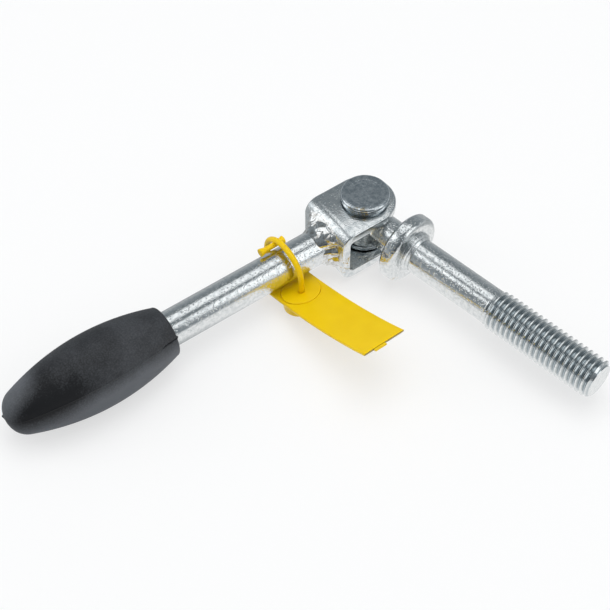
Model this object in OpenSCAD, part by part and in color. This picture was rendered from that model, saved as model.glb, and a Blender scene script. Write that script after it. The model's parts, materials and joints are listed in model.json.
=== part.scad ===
// Folding tommy screw: an eye screw with a collar, hinged in a bent clevis that
// carries a welded handle rod with a rubber grip, and a loop tag on the rod.
// The screw lies along +X with its collar seat at the origin, and the pivot pin is upright.

/* [Screw] */
// Outside diameter of the thread
thread_d = 12; // [10:0.5:14]
// Length of the threaded end
thread_len = 37; // [20:1:60]
// Chamfer at the tip of the thread
tip_chamfer = 1.1; // [0.5:0.1:2]
// Diameter of the plain shank
shank_d = 10.75; // [8:0.05:12]
// Distance from the collar seat to the start of the thread
plain_len = 30; // [15:1:50]
// Diameter of the turned shoulder in front of the collar
shoulder_d = 13; // [12:0.5:15]
// Length of the turned shoulder
shoulder_len = 2.2; // [1:0.1:4]
// Diameter of the collar
collar_d = 21; // [18:0.5:26]
// Thickness of the collar
collar_t = 4.6; // [3.5:0.1:6]
// Rounding of the collar edge on the seat side
collar_round = 1.7; // [0.8:0.1:2]
// Chamfer of the collar edge on the hinge side
collar_chamfer = 0.7; // [0.3:0.1:1.2]
// Diameter of the neck between the collar and the eye
neck_d = 10.4; // [8:0.1:12]
// Width of the neck across the flats pressed on its sides
neck_w = 10; // [7.8:0.1:11.8]

/* [Hinge] */
// Distance from the pin axis to the collar seat
pin_to_seat = 19.1; // [18.5:0.1:26]
// Outside diameter of the eye
eye_d = 14; // [12.5:0.5:16]
// Thickness of the eye between its flats
eye_t = 10; // [8:0.5:11]
// Radius of the fillets from the eye to the neck
eye_fillet = 5; // [3:0.5:6]
// Diameter of the pivot pin
pin_d = 8; // [6:0.5:9]
// Diameter of the pin head
head_d = 14.6; // [12:0.2:17]
// Height of the pin head
head_t = 2.9; // [2:0.1:4]
// Rounding of the top edge of the pin head
head_round = 0.6; // [0.3:0.1:0.9]
// Diameter of the peened lower end of the pin
peen_d = 11; // [10:0.5:13]
// Height of the peened lower end
peen_t = 1.2; // [0.8:0.1:2]
// Outside diameter of the washer
washer_d = 14.5; // [12:0.5:17]
// Thickness of the washer
washer_t = 1.4; // [0.8:0.1:2.5]

/* [Clevis] */
// Thickness of the bent strip
strip_t = 3; // [2:0.25:4]
// Width of the strip
strip_w = 18.8; // [16:0.2:22]
// Inside radius of the two bends
bend_r = 1.3; // [0.8:0.1:2]
// Distance from the pin axis to the outer face of the web
web_reach = 14.9; // [13.5:0.1:16]
// Distance from the pin axis to the round end of the ears
ear_reach = 8.9; // [8:0.1:9.4]

/* [Handle] */
// Angle between the screw and the handle as they lie
handle_angle = 101.2; // [75:0.2:180]
// Diameter of the handle rod
rod_d = 10.6; // [9:0.1:12]
// Distance from the pin axis to the tip of the grip
handle_reach = 121; // [95:0.5:180]
// Length of the weld bead along the rod
weld_len = 5.2; // [3:0.1:7]
// Height of the weld bead on the web, outside the rod
weld_rise = 3.4; // [2:0.1:3.6]

/* [Grip] */
// Length of the grip
grip_len = 51.4; // [40:0.2:70]
// Largest diameter of the grip
grip_d = 22; // [18:0.2:28]
// Diameter of the grip at its mouth
mouth_d = 14.9; // [14:0.1:17]
// Diameter of the grip where its round tip starts
tip_d = 13.2; // [8:0.2:15]
// Distance from the mouth to the widest place
widest_at = 22.5; // [16:0.5:28]
// Length of the round tip
tip_round = 4.2; // [2:0.2:5]
// Thickness of rubber in front of the rod's end
tip_wall = 9; // [6:0.5:14]
// Height of the mould's parting ridge
ridge_h = 0.2; // [0.1:0.05:0.4]
// Turn of the parting ridge from level
ridge_turn = 31; // [0:1:90]

/* [Tag] */
// Place of the tag along the rod, from the pin axis
tag_at = 29; // [26:0.2:60]
// Width of the tag plate
tag_w = 13.8; // [12:0.2:16]
// Length of the tag plate from the rod axis to its free end
tag_len = 46.4; // [25:0.2:50]
// Length of the tag plate behind the rod axis
tag_back = 7.6; // [7:0.1:10]
// Thickness of the tag plate
tag_t = 1.1; // [0.8:0.1:1.6]
// Rise of the tag plate from level, at the disc
tag_tilt = 16.8; // [0:0.2:20]
// Radius of the bow of the tag plate
bow_r = 192; // [150:1:400]
// Lean of the tag plate from square to the rod
tag_skew = 1.6; // [0:0.2:6]
// Diameter of the disc on the plate
disc_d = 11.7; // [9:0.1:12]
// Distance of the disc from the rod axis
disc_at = 6.3; // [5.5:0.1:7]
// Offset of the disc from the plate's centre line
disc_off = 0.2; // [0:0.1:1]
// Depth of the locking boss under the plate
boss_t = 3.8; // [2.6:0.1:3.9]
// Radius of the strap loop at its centre line
loop_r = 8.2; // [7.8:0.1:9]
// Diameter of the strap
strap_d = 1.8; // [1.4:0.1:2.2]
// Length of the cross bar on the strap
bar_len = 8.4; // [6:0.2:10]
// Diameter of the cross bar at its ends
bar_d = 2.6; // [2.2:0.1:3]

/* [Clearances] */
// Radial clearance of the eye on the pin
eye_clear = 0.07; // [0.03:0.01:0.1]
// Radial clearance of the pin in the ears
ear_clear = 0.03; // [0.01:0.01:0.1]
// Radial clearance of the washer on the pin
washer_clear = 0.2; // [0.1:0.05:0.4]
// Gap between the eye and the upper ear
eye_top_gap = 0.3; // [0.2:0.05:0.6]
// Gap between the eye and the washer
eye_low_gap = 0.25; // [0.15:0.05:0.5]
// Gap between the washer and the lower ear
washer_gap = 0.5; // [0.1:0.05:0.8]
// Radial clearance of the weld bead and the grip on the rod
rod_clear = 0.03; // [0.02:0.01:0.1]
// Gap between the rod and the tag plate
plate_gap = 1.3; // [0.8:0.05:1.4]
// Gap between the rod and the cross bar
bar_gap = 0.4; // [0.2:0.05:0.8]

/* [Hidden] */
$fn = 96;

// Levels of the ears, from the stack of eye, washer and gaps
upper_in = eye_t / 2 + eye_top_gap;
lower_in = -eye_t / 2 - eye_low_gap - washer_t - washer_gap;
upper_out = upper_in + strip_t;
lower_out = lower_in - strip_t;
mid_z = (upper_in + lower_in) / 2;
washer_z = lower_in + washer_gap;

// Screw
screw_end = plain_len + thread_len;
thread_step = (thread_d - shank_d) / 2;
collar_back = -collar_t;
neck_len = pin_to_seat - collar_t / 2;
ball_over = 0.1;
arc_steps = 8;

// Clevis
bend_out = bend_r + strip_t;
ear_round = strip_w / 2;
ear_centre = ear_round - ear_reach;

// Handle
rod_end = handle_reach - tip_wall;
rod_len = rod_end - web_reach;
grip_start = handle_reach - grip_len;
weld_root = bend_out;
weld_crown = 0.5;
mouth_round = 0.8;
ridge_w = 0.5;
barrel_steps = 12;

// Tag
plate_top = -rod_d / 2 - plate_gap;
disc_rise = 0.3;
plate_corner = 2;
strap_r = strap_d / 2;
foot_angle = asin(-plate_top / (loop_r - strap_r)) + 1;
leg_angle = 18;
leg_len = (tag_t / 2 - plate_top - loop_r * sin(leg_angle)) / cos(leg_angle);
end_run = tag_len - disc_at;
end_slope = asin(end_run / bow_r);
end_rise = bow_r * (1 - cos(end_slope));
back_rise = pow(tag_back + disc_at, 2) / bow_r;
bar_reach = rod_d / 2 + bar_gap + bar_d / 2;
bar_angle = 105;
bar_off = 1.6;
bar_waist = 0.75;
nib_w = 3.8;
nib_len = 0.9;

zinc = "#b9bec2";
rubber = "#2b2b2e";
yellow = "#e8c40c";

// Points on an arc about c, from angle a0 to a1
function arc(c, r, a0, a1, n = arc_steps) =
    [for (i = [0:n]) c + r * [cos(a0 + (a1 - a0) * i / n), sin(a0 + (a1 - a0) * i / n)]];

// Grip radius at a distance u from the mouth: two parabolas that meet at the widest place
function barrel_r(u) =
    let (end = grip_len - tip_round)
    u < widest_at
        ? grip_d / 2 - (grip_d - mouth_d) / 2 * pow(1 - u / widest_at, 2)
        : grip_d / 2 - (grip_d - tip_d) / 2 * pow((u - widest_at) / (end - widest_at), 2);

// Turns a profile of [distance, radius] about the X axis
module turned() {
    rotate([90, 0, 90]) rotate_extrude() children();
}

module turned_profile(points) {
    turned() polygon([for (p = points) [p[1], p[0]]]);
}

// Moves from the frame of the handle, with X along the rod, to the part's frame
module on_handle() {
    translate([-pin_to_seat, 0, 0]) rotate([0, 0, -handle_angle]) children();
}

// Eye seen from above: a disc, the neck, and a fillet on each side between them
module eye_plan() {
    fillet_y = neck_w / 2 + eye_fillet;
    fillet_x = sqrt(pow(eye_d / 2 + eye_fillet, 2) - pow(fillet_y, 2));
    touch = eye_d / 2 / (eye_d / 2 + eye_fillet);
    circle(d = eye_d);
    translate([0, -neck_w / 2]) square([neck_len, neck_w]);
    for (side = [-1, 1]) difference() {
        polygon([[0, 0], [fillet_x, 0], [fillet_x, side * neck_w / 2],
                 [fillet_x * touch, side * fillet_y * touch]]);
        translate([fillet_x, side * fillet_y]) circle(r = eye_fillet);
    }
}

// Forged eye with flats, rounded down to the neck
module eye() {
    ball_r = norm([eye_d / 2, eye_t / 2]) + ball_over;
    neck_r = neck_d / 2;
    translate([-pin_to_seat, 0, 0]) intersection() {
        translate([0, 0, -eye_t / 2]) linear_extrude(eye_t) eye_plan();
        turned_profile(concat(
            [[-eye_d, 0], [-eye_d, ball_r]],
            arc([0, 0], ball_r, 90, asin(neck_r / ball_r)),
            [[neck_len, neck_r], [neck_len, 0]]));
    }
}

// Turned length of the screw from the collar to the tip
module turned_length() {
    rim = collar_d / 2;
    tip_r = thread_d / 2 - tip_chamfer;
    turned_profile(concat(
        [[collar_back, 0], [collar_back, rim - collar_chamfer], [collar_back + collar_chamfer, rim]],
        arc([-collar_round, rim - collar_round], collar_round, 90, 0),
        [[0, shoulder_d / 2], [shoulder_len - thread_step, shoulder_d / 2], [shoulder_len, shank_d / 2],
         [plain_len - thread_step, shank_d / 2], [plain_len, thread_d / 2],
         [screw_end - tip_chamfer, thread_d / 2], [screw_end, tip_r], [screw_end, 0]]));
}

module screw() {
    color(zinc) difference() {
        union() {
            eye();
            turned_length();
        }
        translate([-pin_to_seat, 0, 0]) cylinder(d = pin_d + 2 * eye_clear, h = 2 * eye_t, center = true);
    }
}

// U of the strip seen from the side, closed at the web, with rounded bends
module bent_side(reach, low, high, r) {
    translate([-strip_w, low]) square([strip_w + reach - r, high - low]);
    translate([reach - r, low + r]) square([r, high - low - 2 * r]);
    for (z = [low + r, high - r]) translate([reach - r, z]) circle(r = r);
}

// Ears seen from above: the strip's width, with a round end about the pin
module ear_plan() {
    translate([ear_centre, 0]) circle(r = ear_round);
    translate([ear_centre, -ear_round]) square([web_reach - ear_centre, strip_w]);
}

// Outside of the bent strip, before the slot is taken out
module clevis_block() {
    intersection() {
        rotate([90, 0, 0]) linear_extrude(strip_w, center = true)
            bent_side(web_reach, lower_out, upper_out, bend_out);
        translate([0, 0, lower_out]) linear_extrude(upper_out - lower_out) ear_plan();
    }
}

module clevis() {
    color(zinc) on_handle() difference() {
        clevis_block();
        rotate([90, 0, 0]) linear_extrude(2 * strip_w, center = true)
            bent_side(web_reach - strip_t, lower_in, upper_in, bend_r);
        translate([0, 0, lower_out - 1])
            cylinder(d = pin_d + 2 * ear_clear, h = upper_out - lower_out + 2);
    }
}

// Headed pin, with its lower end peened over the ear
module pivot_pin() {
    top = upper_out + head_t;
    foot = lower_out - peen_t;
    head_r = head_d / 2;
    color(zinc) on_handle() rotate_extrude() polygon(concat(
        [[0, foot]],
        arc([peen_d / 2 - peen_t, lower_out], peen_t, -90, 0),
        [[pin_d / 2, lower_out], [pin_d / 2, upper_out], [head_r, upper_out]],
        arc([head_r - head_round, top - head_round], head_round, 0, 90),
        [[0, top]]));
}

module washer() {
    color(zinc) on_handle() translate([0, 0, washer_z]) difference() {
        cylinder(d = washer_d, h = washer_t);
        translate([0, 0, -1]) cylinder(d = pin_d + 2 * washer_clear, h = washer_t + 2);
    }
}

// Plain round bar from the web into the grip
module handle_rod() {
    color(zinc) on_handle() translate([web_reach, 0, mid_z])
        turned() square([rod_d / 2, rod_len]);
}

// Fillet bead all round the rod, run into the bends above and below
module weld() {
    inner = rod_d / 2 + rod_clear;
    outer = rod_d / 2 + weld_rise;
    color(zinc) on_handle() difference() {
        translate([web_reach, 0, mid_z]) turned_profile(concat(
            [[-weld_root, inner], [-weld_root, outer], [weld_crown, outer]],
            arc([weld_len, outer], weld_rise - rod_clear, 180, 270)));
        clevis_block();
    }
}

// Outline of the grip as [distance from the mouth, radius]
function grip_outline(proud = 0) =
    let (end = grip_len - tip_round)
    concat(
        arc([mouth_round, barrel_r(mouth_round) - mouth_round], mouth_round + proud, 180, 90, 4),
        [for (i = [1:barrel_steps]) let (u = mouth_round + (end - mouth_round) * i / barrel_steps)
            [u, barrel_r(u) + proud]],
        [for (i = [1:arc_steps]) let (a = 90 * i / arc_steps)
            [end + (tip_round + proud) * sin(a), (tip_d / 2 + proud) * cos(a)]]);

// Moulded rubber grip with a blind bore and a parting ridge
module grip() {
    color(rubber) on_handle() translate([grip_start, 0, mid_z]) difference() {
        union() {
            turned_profile(concat([[0, 0]], grip_outline()));
            rotate([ridge_turn, 0, 0]) for (side = [0, 1]) mirror([0, side, 0])
                linear_extrude(ridge_w, center = true)
                    polygon(concat([[mouth_round, 0]], grip_outline(ridge_h)));
        }
        translate([-1, 0, 0]) turned() square([rod_d / 2 + rod_clear, rod_end - grip_start + 1]);
    }
}

// Tag plate with round corners, seen from above
module tag_plan() {
    half = tag_w / 2;
    translate([-tag_back, disc_off - half + plate_corner])
        square([tag_len + tag_back, tag_w - 2 * plate_corner]);
    translate([plate_corner - tag_back, disc_off - half])
        square([tag_len + tag_back - plate_corner, tag_w]);
    for (side = [-1, 1]) translate([plate_corner - tag_back, disc_off + side * (half - plate_corner)])
        circle(r = plate_corner);
}

// Tag plate, bowed upwards from the disc to both ends
module tag_plate() {
    intersection() {
        translate([0, 0, plate_top - 2 * tag_t])
            linear_extrude(3 * tag_t + max(end_rise, back_rise)) tag_plan();
        translate([disc_at, 0, plate_top + bow_r]) rotate([90, 0, 0]) difference() {
            cylinder(r = bow_r + tag_t, h = 2 * tag_w, center = true, $fn = 720);
            cylinder(r = bow_r, h = 3 * tag_w, center = true, $fn = 720);
        }
    }
}

// Strap loop over the rod: a straight leg down to the disc, and an arc to the plate's far side
module strap_loop() {
    rotate([90, 0, 0]) rotate([0, 0, -leg_angle]) {
        rotate_extrude(angle = 180 + leg_angle + foot_angle)
            translate([loop_r, 0]) circle(r = strap_r, $fn = 32);
        translate([loop_r, 0]) rotate([90, 0, 0]) cylinder(r = strap_r, h = leg_len, $fn = 32);
    }
}

// Cross bar on the strap, with flared ends, lying along the rod
module cross_bar() {
    half = bar_len / 2;
    rotate([0, -bar_angle, 0]) translate([bar_reach, -bar_off, 0]) rotate([90, 0, 0])
        rotate_extrude($fn = 32) polygon([
            [0, -half], [bar_d / 2, -half], [bar_waist * bar_d / 2, -half / 2],
            [bar_waist * bar_d / 2, half / 2], [bar_d / 2, half], [0, half]]);
}

// Moulded tag: plate, disc, locking boss, strap and cross bar in one piece
module tag() {
    color(yellow) on_handle() translate([tag_at, 0, mid_z]) rotate([0, 0, 90 + tag_skew])
        rotate([0, -tag_tilt, 0]) {
            tag_plate();
            translate([tag_len, disc_off - nib_w, plate_top + end_rise]) rotate([0, -end_slope, 0])
                translate([-nib_len, 0, -tag_t]) cube([2 * nib_len, nib_w, tag_t / 2]);
            translate([disc_at, 0, plate_top - tag_t - boss_t])
                cylinder(d = disc_d, h = boss_t + tag_t + disc_rise);
            strap_loop();
            cross_bar();
        }
}

screw();
clevis();
pivot_pin();
washer();
handle_rod();
weld();
grip();
tag();
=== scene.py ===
"""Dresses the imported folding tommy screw: bright zinc plate on steel, a black rubber grip and a
yellow moulded tag, lying on a pale studio floor."""

import json
import logging
import math
from dataclasses import dataclass, field
from enum import Enum
from typing import Any, Optional, Sequence

import bmesh
import bpy
import numpy as np
from mathutils import Matrix, Vector, noise


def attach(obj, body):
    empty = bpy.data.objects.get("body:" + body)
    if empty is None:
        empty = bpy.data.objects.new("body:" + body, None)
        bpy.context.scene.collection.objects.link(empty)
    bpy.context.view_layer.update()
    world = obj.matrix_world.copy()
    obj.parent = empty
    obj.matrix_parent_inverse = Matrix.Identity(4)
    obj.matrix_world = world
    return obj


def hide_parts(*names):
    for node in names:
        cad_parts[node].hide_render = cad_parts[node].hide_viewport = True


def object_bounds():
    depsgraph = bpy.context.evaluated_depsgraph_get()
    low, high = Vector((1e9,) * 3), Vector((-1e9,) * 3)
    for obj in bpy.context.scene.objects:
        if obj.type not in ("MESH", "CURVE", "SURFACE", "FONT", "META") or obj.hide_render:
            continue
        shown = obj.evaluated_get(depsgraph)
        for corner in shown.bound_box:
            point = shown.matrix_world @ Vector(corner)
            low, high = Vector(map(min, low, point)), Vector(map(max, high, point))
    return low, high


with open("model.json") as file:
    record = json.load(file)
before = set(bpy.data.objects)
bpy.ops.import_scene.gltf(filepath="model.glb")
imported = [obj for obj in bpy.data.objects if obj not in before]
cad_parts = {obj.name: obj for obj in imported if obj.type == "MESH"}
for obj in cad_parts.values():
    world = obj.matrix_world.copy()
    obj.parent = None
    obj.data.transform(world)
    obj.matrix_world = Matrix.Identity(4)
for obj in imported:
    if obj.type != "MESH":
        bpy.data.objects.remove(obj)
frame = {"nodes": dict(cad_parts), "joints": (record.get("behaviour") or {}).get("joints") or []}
CAD_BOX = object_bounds()
MM = 0.001
WHITE = (1.0, 1.0, 1.0, 1.0)
log = logging.getLogger("tommy_screw")

Point = tuple[float, float, float]
Profile = list[tuple[float, float]]
Shell = tuple[np.ndarray, list[tuple[int, ...]]]


class Body(Enum):
    """CAD bodies that the pieces ride on."""

    SCREW = "screw"
    HANDLE = "handle"


class Ends(Enum):
    """How a loft is finished at its first and last ring."""

    CAPPED = "capped"
    JOINED = "joined"


class Lay(Enum):
    """Which way the tool marks run under the plating."""

    PLAIN = "plain"
    DRAWN = "drawn"
    TURNED = "turned"


class Join(Enum):
    """How one solid is worked into another."""

    ADD = "UNION"
    CUT = "DIFFERENCE"


def linear(hex_colour: str) -> tuple[float, float, float, float]:
    """Turns an sRGB hex value into linear colour.

    Args:
        hex_colour: the colour as #RRGGBB.

    Returns:
        Linear red, green and blue, with an alpha of 1.
    """
    parts = [int(hex_colour[i:i + 2], 16) / 255 for i in (1, 3, 5)]
    return (*[c / 12.92 if c <= 0.04045 else ((c + 0.055) / 1.055) ** 2.4 for c in parts], 1.0)


def per_mm(size_mm: float) -> float:
    """Texture scale at which one feature is size_mm across, on coordinates in metres."""
    return 1 / (size_mm * MM)


def smooth(share: float) -> float:
    """Eases a share from 0 to 1, and holds it outside."""
    share = min(1.0, max(0.0, share))
    return share * share * (3 - 2 * share)


def hump(value: float, centre: float, width: float, power: int = 2) -> float:
    """A smooth hump of height 1 about a centre; a higher power gives it a flatter top."""
    return math.exp(-abs((value - centre) / width) ** power)


def add(tree: bpy.types.NodeTree, kind: str, links: Optional[dict[Any, Any]] = None,
        **settings: Any) -> bpy.types.Node:
    """Adds a shader node with its settings and links.

    Args:
        tree: the tree that takes the node.
        kind: the node's type, without the ShaderNode prefix.
        links: for each input, a socket to link from or a value to set.
        settings: the node's own properties.

    Returns:
        The new node.
    """
    node = tree.nodes.new("ShaderNode" + kind)
    for name, value in settings.items():
        setattr(node, name, value)
    for key, value in (links or {}).items():
        if isinstance(value, bpy.types.NodeSocket):
            tree.links.new(value, node.inputs[key])
        else:
            node.inputs[key].default_value = value
    return node


def empty_material(name: str) -> tuple[bpy.types.Material, bpy.types.NodeTree]:
    """Makes a material with no nodes.

    Args:
        name: the material's name.

    Returns:
        The material and its node tree.
    """
    material = bpy.data.materials.new(name)
    material.use_nodes = True
    material.node_tree.nodes.clear()
    return material, material.node_tree


@dataclass(frozen=True)
class Axis:
    """A line that tool marks run along or round, in millimetres in the part's frame."""

    point_mm: Point
    direction: Point

    def split(self, tree: bpy.types.NodeTree, place: bpy.types.NodeSocket
              ) -> tuple[bpy.types.NodeSocket, bpy.types.NodeSocket, bpy.types.NodeSocket]:
        """Splits a place into its parts along the line and across it.

        Args:
            tree: the material's node tree.
            place: the position on the part.

        Returns:
            The distance along, the vector along and the vector across.
        """
        direction = Vector(self.direction).normalized()
        offset = add(tree, "VectorMath", {0: place, 1: Vector(self.point_mm) * MM}, operation="SUBTRACT")
        along = add(tree, "VectorMath", {0: offset.outputs[0], 1: direction}, operation="DOT_PRODUCT")
        on_line = add(tree, "VectorMath", {0: direction, "Scale": along.outputs["Value"]},
                      operation="SCALE")
        across = add(tree, "VectorMath", {0: offset.outputs[0], 1: on_line.outputs[0]},
                     operation="SUBTRACT")
        return along.outputs["Value"], on_line.outputs[0], across.outputs[0]


@dataclass(frozen=True)
class Stain:
    """A place where yellow chromate stayed in thin lines on the plating."""

    centre_mm: Point
    radius_mm: float


@dataclass(frozen=True)
class ZincPlate:
    """Bright zinc plate on steel.

    The bath lays a thin bluish silver skin that follows the steel under it. It reflects in hard
    bands, breaks up into a fine sparkle where a band ends, and is duller in patches.
    """

    name: str
    axis: Axis
    lay: Lay = Lay.PLAIN
    tint: str = "#E1E3E3"
    shade: str = "#D0D4D5"
    roughness: tuple[float, float] = (0.10, 0.16)
    mottle_mm: float = 1.0
    grain_mm: float = 0.28
    grain_depth_mm: float = 0.024
    pit_mm: float = 0.62
    pit_depth_mm: float = 0.06
    pit_rim: tuple[float, float] = (0.08, 0.42)
    grain_until_mm: Optional[float] = None
    grain_on_thread: float = 0.12
    root_radius_mm: float = 0.0
    root_tint: str = "#B2BABE"
    root_until_mm: float = 0.0
    root_fade_mm: float = 0.7
    lay_mm: float = 0.35
    lay_depth_mm: float = 0.005
    draw_stretch: float = 0.04
    stains: tuple[Stain, ...] = ()
    stain_tint: str = "#B59A55"
    stain_grain_mm: float = 4.2
    stain_line: float = 0.03
    stain_core: float = 0.55

    def _stained(self, tree: bpy.types.NodeTree, place: bpy.types.NodeSocket,
                 clean: bpy.types.NodeSocket) -> bpy.types.NodeSocket:
        """Draws the chromate lines over the clean colour.

        Args:
            tree: the material's node tree.
            place: the position on the part.
            clean: the colour without stains.

        Returns:
            The colour with stains.
        """
        cloud = add(tree, "TexNoise", {"Vector": place, "Scale": per_mm(self.stain_grain_mm),
                                       "Detail": 2.0, "Roughness": 0.5})
        middle = add(tree, "Math", {0: cloud.outputs["Fac"], 1: 0.5}, operation="SUBTRACT")
        off = add(tree, "Math", {0: middle.outputs[0]}, operation="ABSOLUTE")
        line = add(tree, "MapRange", {"Value": off.outputs[0], "From Min": 0.0,
                                      "From Max": self.stain_line, "To Min": 1.0, "To Max": 0.0},
                   interpolation_type="SMOOTHSTEP")
        colour = clean
        for stain in self.stains:
            away = add(tree, "VectorMath", {0: place, 1: Vector(stain.centre_mm) * MM},
                       operation="DISTANCE")
            near = add(tree, "MapRange", {"Value": away.outputs["Value"],
                                          "From Min": self.stain_core * stain.radius_mm * MM,
                                          "From Max": stain.radius_mm * MM, "To Min": 1.0, "To Max": 0.0},
                       interpolation_type="SMOOTHSTEP")
            mask = add(tree, "Math", {0: line.outputs["Result"], 1: near.outputs["Result"]},
                       operation="MULTIPLY")
            spot = add(tree, "Mix", {"Factor": mask.outputs[0], 6: colour, 7: linear(self.stain_tint)},
                       data_type="RGBA")
            colour = spot.outputs[2]
        return colour

    def _darkened_roots(self, tree: bpy.types.NodeTree, place: bpy.types.NodeSocket,
               clean: bpy.types.NodeSocket) -> bpy.types.NodeSocket:
        """Darkens the roots of a thread.

        Args:
            tree: the material's node tree.
            place: the position on the part.
            clean: the colour of the crests.

        Returns:
            The colour with dark roots.
        """
        along, _, across = self.axis.split(tree, place)
        radius = add(tree, "VectorMath", {0: across}, operation="LENGTH")
        deep = add(tree, "MapRange", {"Value": radius.outputs["Value"],
                                      "From Min": self.root_radius_mm * MM,
                                      "From Max": (self.root_radius_mm + self.root_fade_mm) * MM,
                                      "To Min": 1.0, "To Max": 0.0}, interpolation_type="SMOOTHSTEP")
        threaded = add(tree, "MapRange", {"Value": along, "From Min": self.grain_until_mm * MM,
                                          "From Max": (self.grain_until_mm + 1.5) * MM})
        ended = add(tree, "MapRange", {"Value": along, "From Min": (self.root_until_mm - 0.1) * MM,
                                       "From Max": self.root_until_mm * MM, "To Min": 1.0, "To Max": 0.0})
        inside = add(tree, "Math", {0: threaded.outputs["Result"], 1: ended.outputs["Result"]},
                     operation="MULTIPLY")
        mask = add(tree, "Math", {0: deep.outputs["Result"], 1: inside.outputs[0]}, operation="MULTIPLY")
        dark = add(tree, "Mix", {"Factor": mask.outputs[0], 6: clean, 7: linear(self.root_tint)},
                   data_type="RGBA")
        return dark.outputs[2]

    def _relief(self, tree: bpy.types.NodeTree, place: bpy.types.NodeSocket) -> bpy.types.NodeSocket:
        """Bump of the plating's pits and grain and of the tool marks under it.

        Args:
            tree: the material's node tree.
            place: the position on the part.

        Returns:
            The bumped normal.
        """
        along, on_line, across = self.axis.split(tree, place)
        # The plating's true grain and pits are finer, and are drawn two pixels wide so that they show.
        grain = add(tree, "TexNoise", {"Vector": place, "Scale": per_mm(self.grain_mm), "Detail": 1.0,
                                       "Roughness": 0.5})
        cells = add(tree, "TexVoronoi", {"Vector": place, "Scale": per_mm(self.pit_mm)})
        pits = add(tree, "MapRange", {"Value": cells.outputs["Distance"], "From Min": self.pit_rim[0],
                                      "From Max": self.pit_rim[1]}, interpolation_type="SMOOTHSTEP")
        pitted = add(tree, "Bump", {"Strength": 1.0, "Distance": self.pit_depth_mm * MM,
                                    "Height": pits.outputs["Result"]})
        peel = add(tree, "Bump", {"Strength": 1.0, "Distance": self.grain_depth_mm * MM,
                                  "Height": grain.outputs["Fac"], "Normal": pitted.outputs[0]})
        if self.grain_until_mm is not None:
            fade = add(tree, "MapRange", {"Value": along, "From Min": (self.grain_until_mm - 0.5) * MM,
                                          "From Max": (self.grain_until_mm + 2.0) * MM,
                                          "To Min": 1.0, "To Max": self.grain_on_thread})
            for bump in (peel, pitted):
                tree.links.new(fade.outputs["Result"], bump.inputs["Strength"])
        if self.lay is Lay.PLAIN:
            return peel.outputs[0]
        if self.lay is Lay.DRAWN:
            slow = add(tree, "VectorMath", {0: on_line, "Scale": self.draw_stretch}, operation="SCALE")
            drawn = add(tree, "VectorMath", {0: across, 1: slow.outputs[0]}, operation="ADD")
            marks = add(tree, "TexNoise", {"Vector": drawn.outputs[0], "Scale": per_mm(self.lay_mm),
                                           "Detail": 2.0})
        else:
            radius = add(tree, "VectorMath", {0: across}, operation="LENGTH")
            spiral = add(tree, "Math", {0: along, 1: radius.outputs["Value"]}, operation="ADD")
            marks = add(tree, "TexNoise", {"W": spiral.outputs[0], "Scale": per_mm(self.lay_mm),
                                           "Detail": 3.0}, noise_dimensions="1D")
        tooled = add(tree, "Bump", {"Strength": 1.0, "Distance": self.lay_depth_mm * MM,
                                    "Height": marks.outputs["Fac"], "Normal": peel.outputs[0]})
        return tooled.outputs[0]

    def material(self) -> bpy.types.Material:
        """Builds the plated finish.

        Returns:
            The material.
        """
        material, tree = empty_material(self.name)
        place = add(tree, "TexCoord").outputs["Object"]
        mottle = add(tree, "TexNoise", {"Vector": place, "Scale": per_mm(self.mottle_mm),
                                        "Detail": 6.0, "Roughness": 0.6})
        tone = add(tree, "MapRange", {"Value": mottle.outputs["Fac"], "From Min": 0.35, "From Max": 0.68},
                   interpolation_type="SMOOTHSTEP")
        plate = add(tree, "Mix", {"Factor": tone.outputs["Result"], 6: linear(self.tint),
                                  7: linear(self.shade)}, data_type="RGBA")
        dull = add(tree, "MapRange", {"Value": mottle.outputs["Fac"], "From Min": 0.3, "From Max": 0.75,
                                      "To Min": self.roughness[0], "To Max": self.roughness[1]})
        colour = plate.outputs[2]
        if self.root_radius_mm:
            colour = self._darkened_roots(tree, place, colour)
        shader = add(tree, "BsdfPrincipled", {
            "Base Color": self._stained(tree, place, colour), "Metallic": 1.0,
            "Roughness": dull.outputs["Result"], "Normal": self._relief(tree, place)})
        add(tree, "OutputMaterial", {"Surface": shader.outputs[0]})
        return material


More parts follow.
